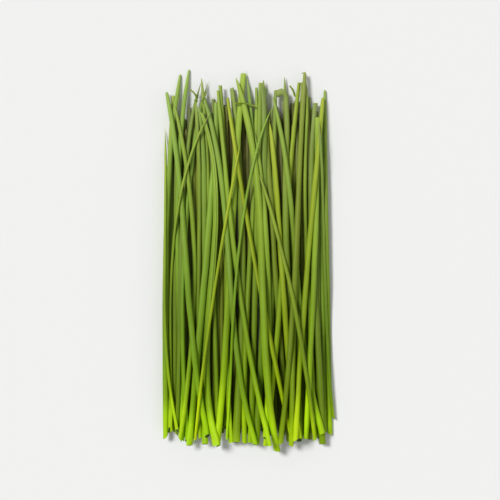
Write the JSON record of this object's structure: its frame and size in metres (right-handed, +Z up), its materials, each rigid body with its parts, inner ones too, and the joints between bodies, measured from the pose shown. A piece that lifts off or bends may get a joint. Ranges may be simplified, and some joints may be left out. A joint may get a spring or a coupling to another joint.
{
  "type": "chive bunch",
  "caption": "Loose bunch of fresh cut chives lying flat: long thin hollow green leaves, side by side, with cut ends at one end and soft or cut tips at the other.",
  "frame": {"origin": "under the middle of the bunch's bounding box, on the surface it lies on", "axes": "+Y from the cut ends to the tips, +X across the bunch, +Z up from the surface"},
  "size_m": [0.0776, 0.174, 0.0153],
  "materials": {
    "under_leaf": "fresh leaf, matte, dark from the shade",
    "side_leaf": "fresh leaf, waxy",
    "loose_leaf": "fresh leaf, waxy, with fine lengthwise streaks",
    "thin_leaf": "young fresh leaf, waxy"
  },
  "bodies": {
    "root": {"leaf_row_01": "under_leaf", "leaf_row_02": "under_leaf", "leaf_row_03": "under_leaf", "leaf_row_04": "under_leaf", "leaf_row_05": "under_leaf", "leaf_row_06": "under_leaf", "leaf_row_07": "under_leaf", "leaf_row_08": "under_leaf", "leaf_row_09": "under_leaf", "leaf_row_10": "under_leaf", "leaf_row_11": "under_leaf", "leaf_row_12": "under_leaf", "side_leaf_1": "side_leaf", "side_leaf_2": "side_leaf", "side_leaf_3": "side_leaf", "side_leaf_4": "side_leaf", "leaf_1": "loose_leaf", "leaf_2": "loose_leaf", "leaf_3": "loose_leaf", "leaf_4": "loose_leaf", "leaf_5": "loose_leaf", "leaf_6": "loose_leaf", "leaf_7": "loose_leaf", "leaf_8": "loose_leaf", "leaf_9": "loose_leaf", "leaf_10": "loose_leaf", "leaf_11": "loose_leaf", "leaf_12": "loose_leaf", "leaf_13": "loose_leaf", "leaf_14": "loose_leaf", "leaf_15": "loose_leaf", "leaf_16": "loose_leaf", "leaf_17": "loose_leaf", "leaf_18": "loose_leaf", "leaf_19": "loose_leaf", "leaf_20": "loose_leaf", "leaf_21": "loose_leaf", "leaf_22": "loose_leaf", "leaf_23": "loose_leaf", "leaf_24": "loose_leaf", "leaf_25": "loose_leaf", "leaf_26": "loose_leaf", "leaf_27": "loose_leaf", "leaf_28": "loose_leaf", "leaf_29": "loose_leaf", "leaf_30": "loose_leaf", "leaf_31": "loose_leaf", "leaf_32": "loose_leaf", "leaf_33": "loose_leaf", "leaf_34": "loose_leaf", "leaf_35": "loose_leaf", "leaf_36": "loose_leaf", "leaf_37": "loose_leaf", "leaf_38": "loose_leaf", "thin_leaf_1": "thin_leaf", "thin_leaf_2": "thin_leaf", "thin_leaf_3": "thin_leaf", "thin_leaf_4": "thin_leaf", "thin_leaf_5": "thin_leaf", "thin_leaf_6": "thin_leaf"}
  },
  "joints": []
}
